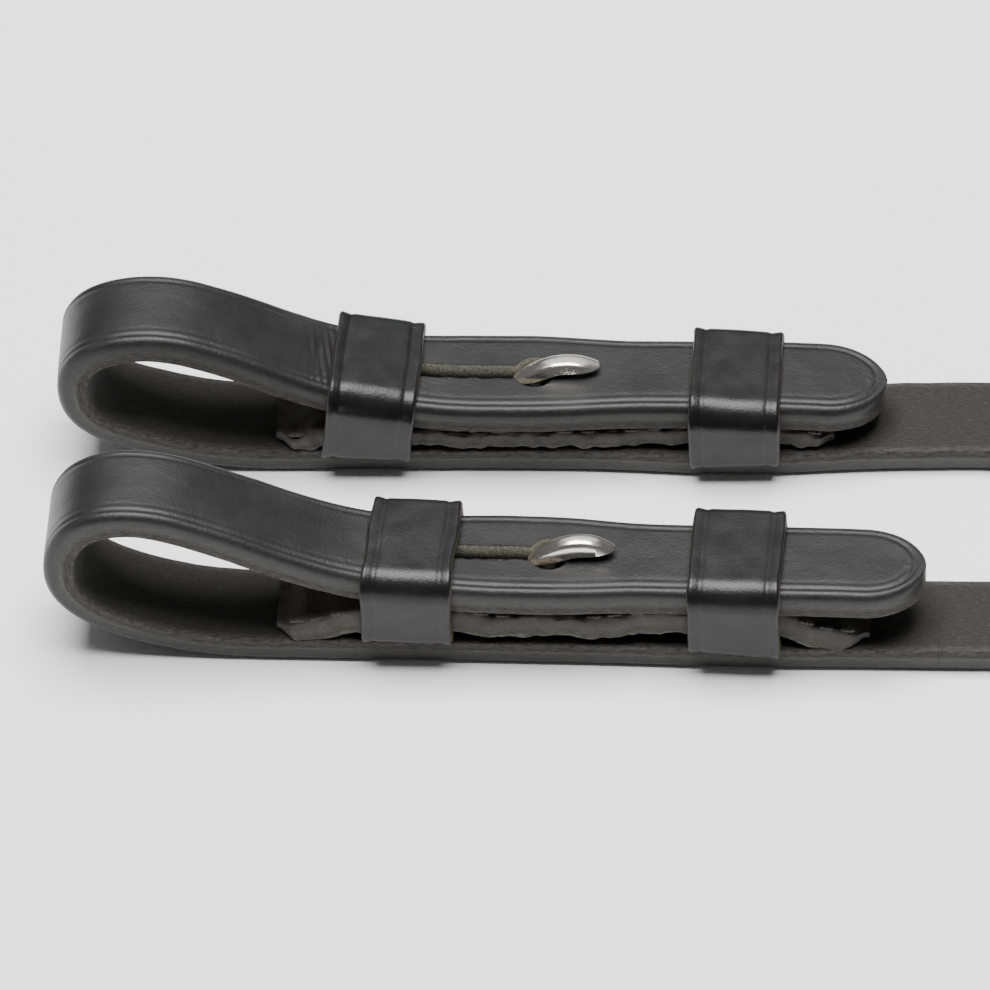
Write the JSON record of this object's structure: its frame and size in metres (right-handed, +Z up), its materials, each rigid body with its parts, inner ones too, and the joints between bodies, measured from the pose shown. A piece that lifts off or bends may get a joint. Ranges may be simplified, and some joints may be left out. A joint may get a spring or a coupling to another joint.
{
  "type": "leather reins",
  "caption": "Pair of narrow leather riding reins with hook-stud bit loops and keepers, put away as an oval coil with a buckle and a punched point.",
  "frame": {"origin": "on the ground, in the middle of the two bit ends, from the left rein's loop nose to where the free reins begin", "axes": "+X from the bit loops towards the hand, +Y from the left rein to the right rein, +Z up from the surface that the reins lie on"},
  "size_m": [0.3363, 0.1189, 0.028],
  "materials": {
    "rein_leather": "black bridle leather, smooth waxed grain, matt brown-black flesh side",
    "tab_leather": "black leather with a fibrous cut edge",
    "keeper_leather": "glossy black leather with creased sides",
    "tie_leather": "matt black lace leather",
    "black_thread": "waxed black linen thread",
    "polished_steel": "polished stainless steel"
  },
  "bodies": {
    "reins": {"left_bit_end_strap": "rein_leather", "left_stud_tab": "tab_leather", "left_hook_stud": "polished_steel", "left_tab_stitching": "black_thread", "left_front_keeper": "keeper_leather", "left_rear_keeper": "keeper_leather", "right_bit_end_strap": "rein_leather", "right_stud_tab": "tab_leather", "right_hook_stud": "polished_steel", "right_tab_stitching": "black_thread", "right_front_keeper": "keeper_leather", "right_rear_keeper": "keeper_leather", "left_rein_run": "rein_leather", "right_rein_run": "rein_leather", "reins_coil": "rein_leather", "left_hand_end": "rein_leather", "right_hand_end": "rein_leather", "coil_ties": "tie_leather", "fixed_hand_keeper": "keeper_leather", "chape_stitching": "black_thread"},
    "buckle_frame": {"buckle_frame": "polished_steel"},
    "buckle_tongue": {"buckle_tongue": "polished_steel"},
    "running_keeper": {"running_hand_keeper": "keeper_leather"}
  },
  "joints": [
    {"name": "buckle_frame_hinge", "type": "hinge", "parent": "reins", "child": "buckle_frame", "pos_m": [0.22118, 0.03828, 0.00948], "axis": [-0.0275, 0, 0.9996], "range_deg": [-60, 20]},
    {"name": "buckle_tongue_hinge", "type": "hinge", "parent": "buckle_frame", "child": "buckle_tongue", "pos_m": [0.22118, 0.03828, 0.00948], "axis": [-0.0275, 0, 0.9996], "range_deg": [0, 80]},
    {"name": "running_keeper_slide", "type": "slide", "parent": "reins", "child": "running_keeper", "axis": [0.9844, 0.1736, 0.0271], "range_m": [-0.008, 0.0095]}
  ]
}
